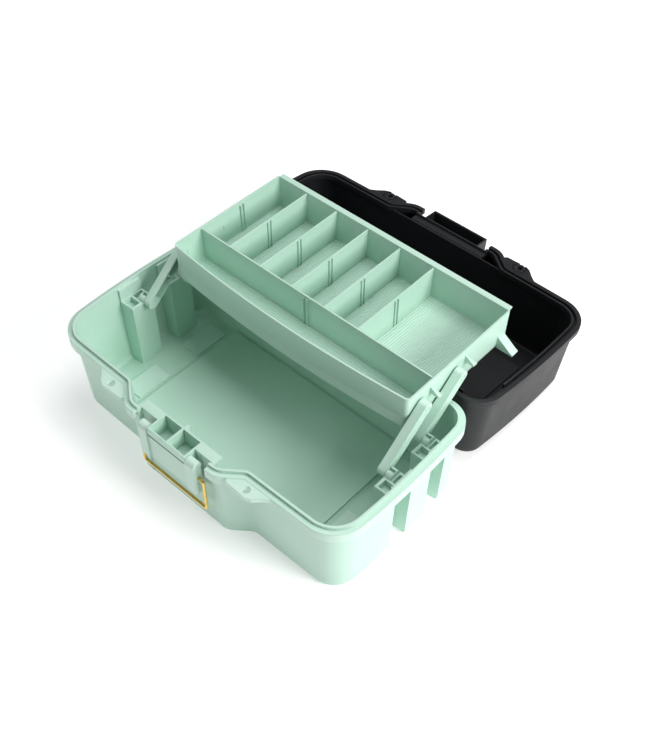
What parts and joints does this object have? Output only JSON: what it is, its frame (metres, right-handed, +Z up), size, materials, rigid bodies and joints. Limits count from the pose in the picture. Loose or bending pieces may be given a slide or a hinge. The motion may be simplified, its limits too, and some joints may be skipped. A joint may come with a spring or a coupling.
{
  "type": "fishing tackle box",
  "caption": "Open tackle box: moulded tub and hinged lid, divided tray on swing-up parallel arms, front lever latch with wire bail, fold-flat carry handle.",
  "frame": {"origin": "on the ground at the middle of the open box's footprint, under the line between tub and lid", "axes": "+X along the box to its right end seen from the front, +Y from the tub back to the opened lid, +Z up"},
  "size_m": [0.373, 0.4274, 0.1406],
  "materials": {
    "mint_plastic": "satin moulded polypropylene",
    "charcoal_plastic": "fine-grained moulded polypropylene",
    "brass_wire": "bright drawn wire",
    "steel_pin": "drawn wire pin"
  },
  "bodies": {
    "base": {"base_tub": "mint_plastic", "hinge_pin_right": "steel_pin", "hinge_pin_left": "steel_pin"},
    "lid": {"lid_shell": "charcoal_plastic"},
    "tray": {"tray": "mint_plastic"},
    "arm_front_right": {"arm_front_right": "mint_plastic"},
    "arm_rear_right": {"arm_rear_right": "mint_plastic"},
    "arm_front_left": {"arm_front_left": "mint_plastic"},
    "arm_rear_left": {"arm_rear_left": "mint_plastic"},
    "lever": {"latch_lever": "mint_plastic"},
    "bail": {"latch_bail": "brass_wire"},
    "handle": {"carry_handle": "charcoal_plastic"}
  },
  "joints": [
    {"name": "lid_hinge", "type": "hinge", "parent": "base", "child": "lid", "pos_m": [0, 0, 0.097], "axis": [1, 0, 0], "range_deg": [0, 185.02]},
    {"name": "arm_front_right_pivot", "type": "hinge", "parent": "base", "child": "arm_front_right", "pos_m": [0.155, -0.0961, 0.0825], "axis": [1, 0, 0], "range_deg": [0, 117]},
    {"name": "arm_rear_right_pivot", "type": "hinge", "parent": "base", "child": "arm_rear_right", "pos_m": [0.155, -0.0461, 0.0825], "axis": [1, 0, 0], "range_deg": [0, 117]},
    {"name": "arm_front_left_pivot", "type": "hinge", "parent": "base", "child": "arm_front_left", "pos_m": [-0.155, -0.0961, 0.0825], "axis": [1, 0, 0], "range_deg": [0, 117]},
    {"name": "arm_rear_left_pivot", "type": "hinge", "parent": "base", "child": "arm_rear_left", "pos_m": [-0.155, -0.0461, 0.0825], "axis": [1, 0, 0], "range_deg": [0, 117]},
    {"name": "tray_pivot", "type": "hinge", "parent": "arm_front_right", "child": "tray", "pos_m": [0.152, -0.04631, 0.12428], "axis": [1, 0, 0], "range_deg": [-117, 0]},
    {"name": "latch_lever_pivot", "type": "hinge", "parent": "base", "child": "lever", "pos_m": [0, -0.2085, 0.0905], "axis": [1, 0, 0], "range_deg": [-22, 0]},
    {"name": "latch_bail_swing", "type": "hinge", "parent": "lever", "child": "bail", "pos_m": [0, -0.2085, 0.0745], "axis": [-1, 0, 0], "range_deg": [0, 180]},
    {"name": "handle_swing", "type": "hinge", "parent": "lid", "child": "handle", "pos_m": [0, 0.07722, 0.01613], "axis": [-1, 0, 0], "range_deg": [0, 90]}
  ],
  "couplings": [
    {"joint": "arm_front_right_pivot", "follows": "lid_hinge", "ratio": 0.62831},
    {"joint": "arm_rear_right_pivot", "follows": "lid_hinge", "ratio": 0.62831},
    {"joint": "arm_front_left_pivot", "follows": "lid_hinge", "ratio": 0.62831},
    {"joint": "arm_rear_left_pivot", "follows": "lid_hinge", "ratio": 0.62831},
    {"joint": "tray_pivot", "follows": "lid_hinge", "ratio": -0.62831}
  ]
}
